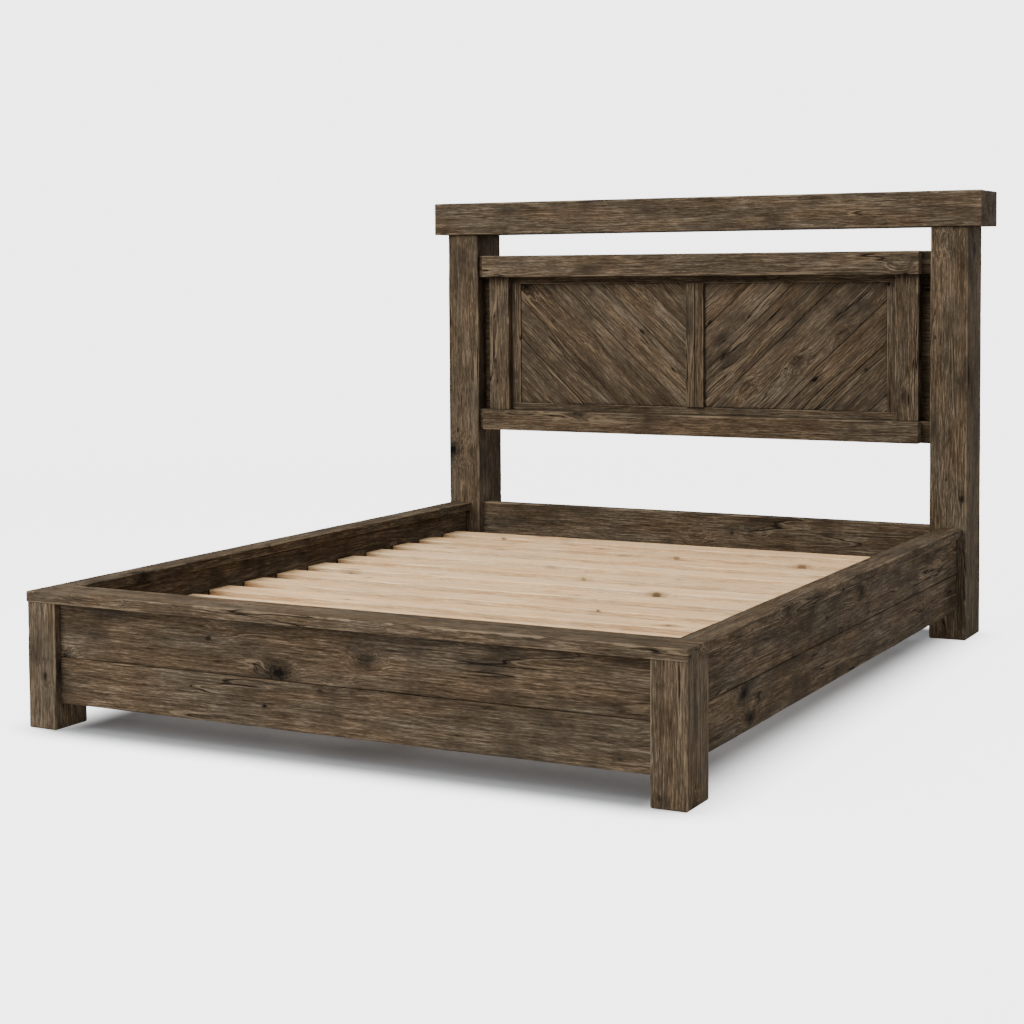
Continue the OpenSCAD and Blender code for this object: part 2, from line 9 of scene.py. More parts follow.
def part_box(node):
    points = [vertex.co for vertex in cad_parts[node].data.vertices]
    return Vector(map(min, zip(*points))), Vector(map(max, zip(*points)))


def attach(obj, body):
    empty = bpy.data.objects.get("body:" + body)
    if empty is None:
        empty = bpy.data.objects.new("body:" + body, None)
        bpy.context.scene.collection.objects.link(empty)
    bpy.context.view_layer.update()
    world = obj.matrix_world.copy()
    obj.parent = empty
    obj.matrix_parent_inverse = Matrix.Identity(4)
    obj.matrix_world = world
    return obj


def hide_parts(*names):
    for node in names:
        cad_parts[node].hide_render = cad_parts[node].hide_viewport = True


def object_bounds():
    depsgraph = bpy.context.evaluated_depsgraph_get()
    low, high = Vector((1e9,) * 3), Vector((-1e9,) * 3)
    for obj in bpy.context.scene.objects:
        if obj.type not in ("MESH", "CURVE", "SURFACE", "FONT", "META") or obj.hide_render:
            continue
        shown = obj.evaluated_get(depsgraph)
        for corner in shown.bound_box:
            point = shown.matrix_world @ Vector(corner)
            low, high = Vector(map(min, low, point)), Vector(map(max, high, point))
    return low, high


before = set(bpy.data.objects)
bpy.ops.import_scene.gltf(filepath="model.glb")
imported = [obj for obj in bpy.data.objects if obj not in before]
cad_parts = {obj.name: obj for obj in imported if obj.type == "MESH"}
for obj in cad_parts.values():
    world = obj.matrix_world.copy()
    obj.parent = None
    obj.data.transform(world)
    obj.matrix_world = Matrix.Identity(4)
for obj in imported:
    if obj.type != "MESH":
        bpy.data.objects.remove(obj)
cad_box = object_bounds()


# ---------------------------------------------------------------------------
# Head posts: two thick square-sawn timbers that run from the floor to the top
# beam. They are reclaimed softwood, wire-brushed so that the hard rings stand
# up, stained brown and rubbed back; each foot is chamfered against splinters.
# ---------------------------------------------------------------------------
class Wire:
    """A shader socket that takes part in sums: a + b on values adds a Math node."""

    def __init__(self, finish, socket):
        self.finish = finish
        self.socket = socket

    def join(self, operation, first, second):
        return self.finish.node("ShaderNodeMath", {"operation": operation}, {0: first, 1: second})

    def __add__(self, other):
        return self.join("ADD", self, other)

    __radd__ = __add__

    def __sub__(self, other):
        return self.join("SUBTRACT", self, other)

    def __rsub__(self, other):
        return self.join("SUBTRACT", other, self)

    def __mul__(self, other):
        return self.join("MULTIPLY", self, other)

    __rmul__ = __mul__

    def __pow__(self, other):
        return self.join("POWER", self, other)

    def __abs__(self):
        return self.finish.node("ShaderNodeMath", {"operation": "ABSOLUTE"}, {0: self})

    def rise(self, low, high):
        """0 below low, 1 above high, and a smooth step between; low may be above high."""
        return self.finish.node(
            "ShaderNodeMapRange", {"interpolation_type": "SMOOTHSTEP"},
            {"Value": self, "From Min": low, "From Max": high})


class Finish:
    """A material that is written as expressions on wires."""

    def __init__(self, name):
        self.material = bpy.data.materials.new(name)
        self.material.use_nodes = True
        self.tree = self.material.node_tree
        self.shader = self.tree.nodes["Principled BSDF"]

    def node(self, kind, settings=None, values=None, output=0):
        """Adds one node: its settings first, then the values or wires of its sockets."""
        made = self.tree.nodes.new(kind)
        for key, value in (settings or {}).items():
            if key == "stops":
                ramp = made.color_ramp
                while len(ramp.elements) < len(value):
                    ramp.elements.new(0.5)
                for element, (place, colour) in zip(ramp.elements, value):
                    element.position = place
                    element.color = (*colour, 1.0)
            else:
                setattr(made, key, value)
        for key, value in (values or {}).items():
            socket = made.inputs[key]
            if isinstance(value, Wire):
                self.tree.links.new(value.socket, socket)
            else:
                socket.default_value = value
        return Wire(self, made.outputs[output])

    def stretched(self, vector, scale, shift=(0.0, 0.0, 0.0)):
        """The vector times scale plus shift."""
        return self.node("ShaderNodeVectorMath", {"operation": "MULTIPLY_ADD"},
                         {0: vector, 1: scale, 2: shift})

    def noise(self, vector, scale, detail=3.0, rough=0.55, shift=(0.0, 0.0, 0.0)):
        """Fractal noise about 0.5, its cells as long as 1 / scale along each axis."""
        return self.node("ShaderNodeTexNoise", {"noise_dimensions": "3D"},
                         {"Vector": self.stretched(vector, scale, shift), "Scale": 1.0,
                          "Detail": detail, "Roughness": rough})

    def scattered(self, vector, output=0):
        """Points scattered one to a unit cell: output 0 is the distance to the nearest, and
        output 1 a colour that is that point's own."""
        return self.node("ShaderNodeTexVoronoi", {"feature": "F1", "voronoi_dimensions": "3D"},
                         {"Vector": vector, "Scale": 1.0}, output)

    def blend(self, factor, first, second, way="MIX"):
        """first where factor is 0 and second where it is 1, as colours."""
        return self.node(
            "ShaderNodeMix", {"data_type": "RGBA", "blend_type": way},
            {0: factor,
             6: first if isinstance(first, Wire) else (*first, 1.0),
             7: second if isinstance(second, Wire) else (*second, 1.0)}, output=2)

    def set(self, **sockets):
        """Connects wires to the shader, or sets its plain values."""
        for name, value in sockets.items():
            socket = self.shader.inputs[name.replace("_", " ")]
            if isinstance(value, Wire):
                self.tree.links.new(value.socket, socket)
            else:
                socket.default_value = value

    def bump(self, height, strength, distance):
        """The normal of a surface raised by height times distance; strength 0 leaves it flat."""
        return self.node("ShaderNodeBump", None,
                         {"Strength": strength, "Distance": distance, "Height": height})


def timber_finish(name, dark, middle, light, worn, smoke_colour, weather=1.0, knots=1.0):
    """Solid wood, on the grain attribute (along, across, through): short fibres and longer streaks
    drawn out along the grain, faint rings round the pith at across = through = 0, knots that push
    them aside, cracks, nail holes, smoky stains and worn arrises. weather scales stains and cracks."""
    f = Finish(name)
    grain = f.node("ShaderNodeAttribute", {"attribute_name": "grain"}, output=1)
    wear = f.node("ShaderNodeAttribute", {"attribute_name": "wear"}, output=2)
    tone = f.node("ShaderNodeAttribute", {"attribute_name": "tone"}, output=2)

    # knots: one point in some of the cells of a lattice, each a branch that runs through
    wobble = f.noise(grain, (30.0, 34.0, 34.0), 3.0)
    knot_room = f.stretched(grain, (5.2, 9.5, 3.2))
    knot_away = f.scattered(knot_room)
    knot_pick = f.node("ShaderNodeSeparateColor", None, {"Color": f.scattered(knot_room, output=1)})
    knot_here = knot_pick.rise(0.42, 0.46) * knots
    knot_near = knot_away + 0.16 * (wobble - 0.5)
    knot_swirl = knot_away.rise(0.42, 0.0) * knot_here
    knot_halo = knot_near.rise(0.27, 0.04) * knot_here
    knot_core = knot_near.rise(0.092, 0.048) * knot_here
    star = abs(f.noise(grain, (38.0, 30.0, 30.0), 2.0, shift=(1.0, 6.0, 2.0)) - 0.5)
    knot_star = star.rise(0.022, 0.004) * knot_near.rise(0.24, 0.12) * knot_here * weather

    # the knots bend everything that follows the grain
    bent = f.node("ShaderNodeCombineXYZ", None, {"Y": 0.020 * knot_swirl, "Z": 0.014 * knot_swirl})
    grain_bent = f.node("ShaderNodeVectorMath", {"operation": "ADD"}, {0: grain, 1: bent})
    across = f.node("ShaderNodeSeparateXYZ", None, {"Vector": grain_bent}, output=1)
    through = f.node("ShaderNodeSeparateXYZ", None, {"Vector": grain_bent}, output=2)
    sway = f.noise(grain, (1.1, 5.0, 5.0), 2.0) - 0.5
    ripple = f.noise(grain, (6.0, 40.0, 40.0), 3.0, shift=(7.0, 3.0, 1.0)) - 0.5
    rings = (across * across + through * through) ** 0.5 + 0.055 * sway + 0.007 * ripple
    rings_per_metre = 170.0
    ring_wave = f.node("ShaderNodeMath", {"operation": "FRACT"}, {0: rings * rings_per_metre})
    late_wood = ring_wave.rise(0.25, 0.85) * ring_wave.rise(1.0, 0.88)

    broad = f.noise(grain, (2.6, 11.0, 11.0), 2.0, 0.55, shift=(3.0, 9.0, 5.0))
    streak = f.noise(grain_bent, (3.6, 55.0, 55.0), 3.0, 0.6, shift=(1.0, 4.0, 8.0))
    fibre = f.noise(grain_bent, (13.0, 240.0, 240.0), 4.0, 0.75)
    tick = f.noise(grain_bent, (55.0, 620.0, 620.0), 2.0, 0.6, shift=(2.0, 1.0, 9.0))
    smoke = f.noise(grain, (6.5, 10.0, 10.0), 3.0, 0.6, shift=(11.0, 2.0, 6.0))
    bands = f.noise(grain, (9.0, 2.2, 2.2), 3.0, 0.6, shift=(4.0, 7.0, 3.0))
    hue = f.noise(grain_bent, (3.4, 17.0, 17.0), 3.0, 0.6, shift=(6.0, 13.0, 2.0))

    value = (0.50 + 1.70 * (fibre - 0.5) + 0.52 * (streak - 0.5) + 0.40 * (broad - 0.5)
             + 0.85 * (tick - 0.5) - 0.06 * late_wood + 0.5 * (tone - 0.5))
    colour = f.node("ShaderNodeValToRGB", {"stops": [(0.10, dark), (0.5, middle), (0.9, light)]},
                    {0: value})
    tint = f.blend(hue.rise(0.36, 0.64), (1.035, 0.985, 0.93), (0.965, 1.01, 1.05))
    colour = f.blend(1.0, colour, tint, "MULTIPLY")
    smoke_here = (smoke + 0.5 * (fibre - 0.5) + 0.10 * wear).rise(0.50, 0.76) * (0.58 * weather)
    band_here = (bands + 0.4 * (fibre - 0.5)).rise(0.53, 0.76) * (0.36 * weather)
    colour = f.blend(smoke_here, colour, smoke_colour)
    colour = f.blend(band_here, colour, smoke_colour)
    knot_colour = tuple(0.6 * c for c in smoke_colour)
    colour = f.blend(0.80 * knot_halo, colour, knot_colour)

    # long drying cracks with a raised lip along one side, its paler colour a painted highlight where
    # the lip would catch the light, pin knots and nail holes
    check = f.noise(grain_bent, (1.0, 15.0, 15.0), 3.0, 0.5, shift=(5.0, 5.0, 2.0)) - 0.5
    check_room = f.noise(grain, (2.2, 8.0, 8.0), 1.0, shift=(2.0, 8.0, 4.0)).rise(0.46, 0.56)
    crack = abs(check).rise(0.0060, 0.0016) * check_room * weather
    lip_and_highlight = (check - 0.012).rise(0.0, 0.004) * (check - 0.026).rise(0.004, 0.0) * check_room * weather
    hole_away = f.scattered(f.stretched(grain, (6.5, 11.0, 11.0), (0.3, 0.7, 0.1)))
    pin_near = hole_away + 0.10 * (wobble - 0.5)
    pin_knot = pin_near.rise(0.085, 0.045) * knots
    pin_halo = pin_near.rise(0.26, 0.08) * knots
    hole = hole_away.rise(0.030, 0.020)
    pit = f.node("ShaderNodeClamp", None,
                 {"Value": 0.85 * crack + hole + 0.9 * knot_core + 0.8 * knot_star + 0.7 * pin_knot})
    # painted highlight: the crack's lip is lightened towards the worn colour
    colour = f.blend(0.30 * lip_and_highlight, colour, worn)
    colour = f.blend(0.22 * pin_halo, colour, knot_colour)
    colour = f.blend(pit, colour, tuple(0.3 * c for c in smoke_colour))

    # arrises rubbed back to paler wood, unevenly
    rub = (wear * (0.15 + 1.5 * f.noise(grain, (16.0, 70.0, 70.0), 3.0, 0.65))).rise(0.55, 1.25)
    colour = f.blend(0.5 * rub * (1.0 - pit), colour, worn)

    height = (0.35 * streak + 0.85 * fibre + 0.5 * tick + 0.12 * late_wood + 0.2 * lip_and_highlight - 0.9 * pit)
    # dry brushed wood has next to no sheen, so its refraction is barely above that of air
    f.set(Base_Color=colour, IOR=1.06,
          Roughness=0.68 + 0.25 * (fibre - 0.5) + 0.10 * smoke_here - 0.08 * rub,
          Normal=f.bump(height, 0.8, 0.0024))
    return f.material


brown_timber = timber_finish(
    "weathered_brown_wood", dark=(0.0125, 0.0087, 0.0053), middle=(0.0425, 0.0308, 0.0197),
    light=(0.116, 0.086, 0.057), worn=(0.150, 0.112, 0.071), smoke_colour=(0.0105, 0.0085, 0.0065))


def patches(u, v, seed):
    """Smooth relief from 0 to 1: random heights on the whole numbers of u and v, blended
    between by 3t^2 - 2t^3 both ways."""
    column, row = np.floor(u).astype(int), np.floor(v).astype(int)
    heights = np.random.default_rng(seed).random((column.max() + 2, row.max() + 2))
    a, b = u - column, v - row
    a, b = a * a * (3 - 2 * a), b * b * (3 - 2 * b)
    low = heights[column, row] * (1 - a) + heights[column + 1, row] * a
    high = heights[column, row + 1] * (1 - a) + heights[column + 1, row + 1] * a
    return low * (1 - b) + high * b


def new_piece(name, points, faces, material, body="frame"):
    """One object from an array of points and lists of faces, on its body."""
    mesh = bpy.data.meshes.new(name)
    mesh.from_pydata(points.tolist(), [], faces)
    mesh.polygons.foreach_set("use_smooth", [True] * len(mesh.polygons))
    mesh.materials.append(material)
    mesh.update()
    piece = bpy.data.objects.new(name, mesh)
    bpy.context.collection.objects.link(piece)
    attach(piece, body)
    return piece


def paint(piece, grain, wear, tone):
    """Stores the grain place, the wear of each point and the piece's own tone."""
    data = piece.data.attributes.new("grain", "FLOAT_VECTOR", "POINT")
    data.data.foreach_set("vector", np.asarray(grain, np.float32).ravel())
    data = piece.data.attributes.new("wear", "FLOAT", "POINT")
    data.data.foreach_set("value", np.asarray(wear, np.float32))
    data = piece.data.attributes.new("tone", "FLOAT", "POINT")
    data.data.foreach_set("value", np.full(len(wear), tone, np.float32))


def grid_faces(rows, columns):
    """Quads of a grid that closes round its columns, row by row."""
    i, j = np.meshgrid(np.arange(rows - 1), np.arange(columns), indexing="ij")
    k = (j + 1) % columns
    quads = np.stack([i * columns + j, i * columns + k, (i + 1) * columns + k,
                      (i + 1) * columns + j], -1)
    return quads.reshape(-1, 4).tolist()


AXES = {"x": (0, 1, 2), "y": (1, 2, 0), "z": (2, 0, 1)}
ARC_POINTS = 5                  # on each rounded arris and each rounded end
SIDE_SPACING = 0.010            # between the points across a side, away from its arrises
ARRIS_BAND = 0.004              # from an arris to the first point of a side
WANDER, NIBBLE = 0.11, 0.022    # lengths over which an arris's radius changes
HOLLOW = (0.21, 0.031)          # length and width of the broad dips in a face
RIPPLE = (0.05, 0.009)          # length and width of the small ones
FLAT_BAND = 0.006               # from an arris to where a face dips in full
RUBBED_BAND = 0.0045            # the wear falls to 1 / e this far from an arris
LEAST_RADIUS = 0.0004
RADIUS_SHARE = 0.42             # the most an arris may take of the timber's smaller side
END_RINGS = ((0.93, 0.25), (0.45, 0.0))     # share of the outline, and wear


def rings_along(length, ends, step):
    """Where the rings of a timber stand along it, and how far each is drawn in: evenly between
    the ends, and at each end over a quarter circle of that end's radius."""
    quarter = np.linspace(0.0, math.pi / 2, ARC_POINTS)
    inner = np.linspace(ends[0], length - ends[1], max(4, int(length / step)))
    at = np.concatenate([ends[0] * (1 - np.cos(quarter[:-1])), inner,
                         length - ends[1] * (1 - np.cos(quarter[-2::-1]))])
    inset = np.concatenate([ends[0] * (1 - np.sin(quarter[:-1])), np.zeros(len(inner)),
                            ends[1] * (1 - np.sin(quarter[-2::-1]))])
    return at, inset


def arris_radii(at, arris, chips, seed, rng):
    """The radius of each of four arrises at every ring: it wanders about arris, and grows at a
    chip by its depth times exp(-(distance / reach)^4)."""
    radius = np.empty((len(at), 4))
    for corner in range(4):
        wander = patches(at / WANDER + 0.5, np.zeros(len(at)), seed + 31 * corner)
        nibble = patches(at / NIBBLE + 0.5, np.zeros(len(at)), seed + 31 * corner + 7)
        radius[:, corner] = arris * (0.55 + 0.75 * wander + 0.35 * nibble * wander)
    for corner, count, depth in chips:
        for place in rng.uniform(0.0, at[-1], count):
            reach = rng.uniform(0.003, 0.014)
            cut = depth * rng.uniform(0.1, 1.0) ** 2
            radius[:, corner] += cut * np.exp(-((at - place) / reach) ** 4)
    return radius


def close_ends(place, wear):
    """A shell from rings of points and their wear: quads between the rings, and at each end
    the smaller rings of END_RINGS and a fan to a middle point."""
    rings, spots = wear.shape
    parts, worn = [place.reshape(-1, 3)], [wear.reshape(-1)]
    faces = grid_faces(rings, spots)
    for last, flip in ((0, True), (rings - 1, False)):
        base, start = last * spots, sum(len(part) for part in parts)
        loops = [np.arange(base, base + spots)]
        for shrink, rub in END_RINGS:
            loops.append(np.arange(start, start + spots))
            parts.append(place[last] * (1.0, shrink, shrink))
            worn.append(np.full(spots, rub))
            start += spots
        parts.append(place[last, :1] * (1.0, 0.0, 0.0))
        worn.append(np.zeros(1))
        for outer, nearer in zip(loops[:-1], loops[1:]):
            quads = np.stack([outer, np.roll(outer, -1), np.roll(nearer, -1), nearer], -1)
            faces += (quads[:, ::-1] if flip else quads).tolist()
        fan = np.stack([loops[-1], np.roll(loops[-1], -1), np.full(spots, start)], -1)
        faces += (fan[:, ::-1] if flip else fan).tolist()
    return np.vstack(parts), np.concatenate(worn), faces


def timber(name, low, high, along, seed, arris=0.003, ends=(0.0025, 0.0025), step=0.012,
           relief=0.0007, chips=(), tone=None, rubbed=1.0, material=brown_timber,
           slot="weathered_brown_wood"):
    """A sawn timber: a rectangle with rounded arrises carried along its length.

    The radius of each arris wanders along the piece, chips cut deeper into it, and the faces
    dip inwards by up to relief, so nothing stands outside low and high. The last rings follow
    a quarter circle inwards, of the radius in ends, and close on the end's middle."""
    axes = AXES[along]
    low, high = np.array(low, float), np.array(high, float)
    length, wide, tall = (high - low)[list(axes)]
    middle = ((high + low) / 2)[list(axes)]
    rng = np.random.default_rng(seed)
    at, inset = rings_along(length, ends, step)
    radius = arris_radii(at, arris, chips, seed, rng)
    radius = np.minimum(radius, RADIUS_SHARE * min(wide, tall))
    rounded = np.maximum(radius - inset[:, None], LEAST_RADIUS)

    # outline: four arcs, and points along the sides that crowd towards the arrises
    signs = ((1, 1), (-1, 1), (-1, -1), (1, -1))
    sweep = np.linspace(0.0, math.pi / 2, ARC_POINTS)
    across, up, wear, pull, facing = [], [], [], [], []
    for corner, (sx, sy) in enumerate(signs):
        r = rounded[:, corner]
        turn = sweep + corner * math.pi / 2
        across.append(sx * (wide / 2 - inset - r)[:, None] + r[:, None] * np.cos(turn))
        up.append(sy * (tall / 2 - inset - r)[:, None] + r[:, None] * np.sin(turn))
        wear.append(np.tile(0.72 + 0.28 * np.sin(2 * sweep), (len(at), 1))
                    * np.clip(radius[:, corner] / arris, 0.4, 1.7)[:, None])
        pull.append(np.zeros((len(at), ARC_POINTS)))
        side = tall if corner % 2 else wide
        count = int(np.clip(side / SIDE_SPACING, 4, 15))
        share = np.linspace(0.0, 1.0, count + 2)[1:-1]
        nearest = min(ARRIS_BAND / side, share[0] / 2)
        share = np.concatenate([[nearest], share, [1 - nearest]])
        after = (corner + 1) % 4
        r2 = rounded[:, after]
        end_turn = (corner + 1) * math.pi / 2
        x0, y0 = across[-1][:, -1], up[-1][:, -1]
        x1 = signs[after][0] * (wide / 2 - inset - r2) + r2 * math.cos(end_turn)
        y1 = signs[after][1] * (tall / 2 - inset - r2) + r2 * math.sin(end_turn)
        across.append(x0[:, None] + (x1 - x0)[:, None] * share)
        up.append(y0[:, None] + (y1 - y0)[:, None] * share)
        edge = np.minimum(share, 1 - share) * side
        wear.append(np.tile(0.62 * np.exp(-edge / RUBBED_BAND), (len(at), 1)))
        s = np.broadcast_to(share * side, (len(at), len(share)))
        t = np.broadcast_to(at[:, None], s.shape)
        dips = (0.6 * patches(t / HOLLOW[0], s / HOLLOW[1], seed + corner)
                + 0.4 * patches(t / RIPPLE[0], s / RIPPLE[1], seed + corner + 50))
        pull.append(relief * dips * np.clip(edge / FLAT_BAND, 0.0, 1.0)
                    * np.clip(1 - inset / max(ends[0], 1e-6), 0.0, 1.0)[:, None])
        facing += [(0.0, 0.0)] * ARC_POINTS
        facing += [(math.cos(end_turn), math.sin(end_turn))] * len(share)
    across, up = np.hstack(across), np.hstack(up)
    wear, pull = np.hstack(wear), np.hstack(pull)
    facing = np.array(facing)
    across = across - pull * facing[:, 0]
    up = up - pull * facing[:, 1]

    place = np.stack([np.broadcast_to(at[:, None], across.shape), across, up], -1)
    local, worn, faces = close_ends(place, wear)
    points = np.empty_like(local)
    points[:, axes[0]] = local[:, 0] - length / 2 + middle[0]
    points[:, axes[1]] = local[:, 1] + middle[1]
    points[:, axes[2]] = local[:, 2] + middle[2]
    piece = new_piece(name, points, faces, material)
    # knots run through the thickness, or from front to back in a timber that is nearly square
    on_edge = wide < tall * (2 if along == "x" else 1)
    grain = local[:, [0, 2, 1]] if on_edge else local
    pith = rng.uniform(-0.11, 0.11, 2) + np.sign(rng.uniform(-1, 1, 2)) * 0.03
    paint(piece, grain + (rng.uniform(0, 40), pith[0], pith[1]), rubbed * worn,
          rng.uniform(0.3, 0.7) if tone is None else tone)
    return piece


def chipped(count, depth):
    """The same number of chips, at most depth deep, on each of the four arrises."""
    return [(corner, count, depth) for corner in range(4)]


FOOT_CHAMFER = 0.006
for number, side in enumerate(("left", "right")):
    node = f"head_post_{side}"
    post = timber(f"{node}_timber", *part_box(node), "z", 100 + number, arris=0.0034,
                  ends=(FOOT_CHAMFER, 0.002), chips=chipped(5, 0.003), relief=0.0009, tone=0.52)
    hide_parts(node)

# ---------------------------------------------------------------------------
# Top beam: the heaviest timber, laid flat on the posts over dowels, with
# its ends sawn square and its long arrises knocked about.
# ---------------------------------------------------------------------------
beam = timber("top_beam_timber", *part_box("top_beam"), "x", 203, arris=0.004,
              ends=(0.003, 0.003), chips=chipped(9, 0.003), relief=0.001, tone=0.5)
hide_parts("top_beam")

# ---------------------------------------------------------------------------
# Panel rails: a rail tenoned into both posts, with a thick board glued on its front that stops short of
# the posts. The rail shows only in the recess by the posts, where its darker wood is partly painted
# shade.
# ---------------------------------------------------------------------------
# darker wood for the rail cores, back sheet and inner foot rail, which sit back in shaded recesses:
# partly painted shade, its depth standing in for some of the shade there
dark_and_shade_timber = timber_finish(
    "dark_stained_wood", dark=(0.008, 0.0056, 0.0034), middle=(0.028, 0.0203, 0.0125),
    light=(0.075, 0.055, 0.035), worn=(0.100, 0.074, 0.046), smoke_colour=(0.0070, 0.0057, 0.0044))

post_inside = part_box("head_post_right")[0].x
for number, level_name in enumerate(("top", "bottom")):
    low, high = (np.array(corner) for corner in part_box(f"{level_name}_rail_core"))
    low[0], high[0] = -post_inside, post_inside
    core = timber(f"{level_name}_rail_timber", low, high, "x", 300 + number,
                  material=dark_and_shade_timber, slot="dark_stained_wood", ends=(0.001, 0.001))
    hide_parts(f"{level_name}_rail_core")
    node = f"{level_name}_rail_face"
    face = timber(f"{node}_board", *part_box(node), "x", 310 + number, arris=0.003,
                  chips=chipped(7, 0.0025), tone=0.52)
    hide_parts(node)

# ---------------------------------------------------------------------------
# Stiles, muntin and moulding: upright boards between the rails, and thin
# strips nailed round the opening to hold the chevron boards in.
# ---------------------------------------------------------------------------
for number, side in enumerate(("left", "right")):
    node = f"panel_stile_{side}"
    stile = timber(f"{node}_board", *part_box(node), "z", 400 + number, arris=0.0025,
                   chips=chipped(3, 0.002), tone=0.48)
    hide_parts(node)

low, high = (np.array(corner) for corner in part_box("muntin_strips"))
GROOVE = 0.002
for number, (x0, x1) in enumerate(((low[0], -GROOVE / 2), (GROOVE / 2, high[0]))):
    strip = timber(f"muntin_strip_{number + 1}", (x0, low[1], low[2]), (x1, high[1], high[2]), "z",
                   410 + number, arris=0.0018, ends=(0.001, 0.001), tone=0.47)
    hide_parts("muntin_strips")

low, high = (np.array(corner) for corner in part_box("panel_moulding"))
chevron_low, chevron_high = (np.array(corner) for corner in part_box("chevron_boards_right"))
strips = {
    "moulding_bottom": ((low[0], low[1], low[2]), (high[0], high[1], chevron_low[2]), "x"),
    "moulding_top": ((low[0], low[1], chevron_high[2]), (high[0], high[1], high[2]), "x"),
    "moulding_left": ((low[0], low[1], chevron_low[2]),
                      (-chevron_high[0], high[1], chevron_high[2]), "z"),
    "moulding_right": ((chevron_high[0], low[1], chevron_low[2]),
                       (high[0], high[1], chevron_high[2]), "z"),
}
for number, (name, (corner_a, corner_b, along)) in enumerate(strips.items()):
    strip = timber(name, corner_a, corner_b, along, 420 + number, arris=0.0016,
                   ends=(0.0006, 0.0006), tone=0.45)
    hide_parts("panel_moulding")

# ---------------------------------------------------------------------------
# Back panel: one thin sheet set between the posts, behind the rails, stiles and boards, which are all
# nailed to it. It shows only deep in shade between stile and post, and its darker wood is partly
# painted shade.
# ---------------------------------------------------------------------------
back = timber("back_panel_sheet", *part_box("headboard_back_panel"), "x", 500, arris=0.0008,
              ends=(0.0008, 0.0008), relief=0.0003, material=dark_and_shade_timber,
              slot="dark_stained_wood", step=0.03)
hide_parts("headboard_back_panel")

# ---------------------------------------------------------------------------
# Chevron boards: old boards of mixed widths, laid at an angle so that they
# rise outwards from the centre, cut to the opening and nailed to the back.
# ---------------------------------------------------------------------------
CHEVRON_ANGLE = math.radians(43.0)
CHEVRON_WIDTHS = (0.108, 0.098, 0.097, 0.145, 0.094, 0.118, 0.110)
CHEVRON_SEAM = 0.0012


def slanted_board(name, side, start, width, box, seed):
    """One board of the chevron, between two parallel slanted lines and cut to the box.

    Rows run along the board and are spaced over its width. The front is a height that falls
    away at the long edges in a quarter circle and cups a little; the back is flat."""
    low, high = box
    rng = np.random.default_rng(seed)
    run = np.array([math.cos(CHEVRON_ANGLE), math.sin(CHEVRON_ANGLE)])
    drop = np.array([math.sin(CHEVRON_ANGLE), -math.cos(CHEVRON_ANGLE)])
    corner = np.array([low[0], high[2]])
    edge = rng.uniform(0.002, 0.0032)
    steps = np.concatenate([edge * (1 - np.cos(np.linspace(0, math.pi / 2, ARC_POINTS))),
                            np.linspace(edge, width - edge, 13)[1:-1],
                            width - edge * (1 - np.cos(np.linspace(math.pi / 2, 0, ARC_POINTS)))])
    places = start + steps
    # the cut of each row: where corner + drop * d + run * s enters and leaves the box
    base = corner + np.outer(places, drop)
    s_in = np.maximum((low[0] - base[:, 0]) / run[0], (low[2] - base[:, 1]) / run[1])
    s_out = np.minimum((high[0] - base[:, 0]) / run[0], (high[2] - base[:, 1]) / run[1])
    keep = s_out - s_in > 0.002
    places, steps, s_in, s_out, base = (a[keep] for a in (places, steps, s_in, s_out, base))
    columns = max(8, int((s_out - s_in).max() / 0.009))
    share = np.linspace(0.0, 1.0, columns)
    s = s_in[:, None] + (s_out - s_in)[:, None] * share
    x = base[:, :1] + run[0] * s
    z = base[:, 1:] + run[1] * s
    from_edge = np.minimum(steps, width - steps)
    arc = np.sqrt(np.maximum(edge ** 2 - (edge - from_edge) ** 2, 0))
    fall = np.where(from_edge < edge, edge - arc, 0)
    ground = s - s.min() + 0.01
    d = np.broadcast_to(steps[:, None], s.shape) + 0.01
    dips = (0.0012 * patches(ground / 0.16, d / 0.03, seed)
            + 0.0006 * patches(ground / 0.04, d / 0.008, seed + 5))
    cup = rng.uniform(0.0, 0.0012) * (2 * steps / width - 1) ** 2
    seat = rng.uniform(0.0, 0.0016)
    uneven = 0.7 + 0.6 * patches(ground / 0.05, d * 0, seed + 9)
    front = low[1] + seat + (fall + cup)[:, None] * uneven + dips
    back_face = np.full(s.shape, high[1])
    rows, behind = len(places), s.size
    points = np.concatenate([np.stack([side * x, front, z], -1).reshape(-1, 3),
                             np.stack([side * x, back_face, z], -1).reshape(-1, 3)])
    index = np.arange(behind).reshape(rows, columns)
    rim = np.concatenate([index[0, :-1], index[:-1, -1], index[-1, :0:-1], index[:0:-1, 0]])
    face = np.stack([index[:-1, :-1], index[1:, :-1], index[1:, 1:], index[:-1, 1:]], -1).reshape(-1, 4)
    wall = np.stack([rim, np.roll(rim, -1), np.roll(rim, -1) + behind, rim + behind], -1)
    shell = np.concatenate([face, face[:, ::-1] + behind, wall])
    if side < 0:
        shell = shell[:, ::-1]
    board = new_piece(name, points, shell.tolist(), brown_timber)
    wear = np.exp(-from_edge / 0.004)[:, None] * np.ones(columns)
    wear = np.concatenate([wear.ravel(), 0 * wear.ravel()])
    grain = np.stack([np.tile(s.ravel(), 2), np.tile(d.ravel(), 2), points[:, 1] - low[1]], -1)
    pith = (rng.uniform(-0.06, 0.06), rng.uniform(0.02, 0.08))
    paint(board, grain + (rng.uniform(0, 40), pith[0], pith[1]), 0.9 * wear, rng.uniform(0.32, 0.66))
    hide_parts("chevron_boards_right" if side > 0 else "chevron_boards_left")
    return board


for side, side_name in ((-1, "left"), (1, "right")):
    start = 0.0
    for number, width in enumerate(CHEVRON_WIDTHS):
        slanted_board(f"chevron_{side_name}_{number + 1}", side, start + CHEVRON_SEAM / 2,
                      width - CHEVRON_SEAM, (chevron_low, chevron_high), 600 + number * 2 + (side > 0))
        start += width

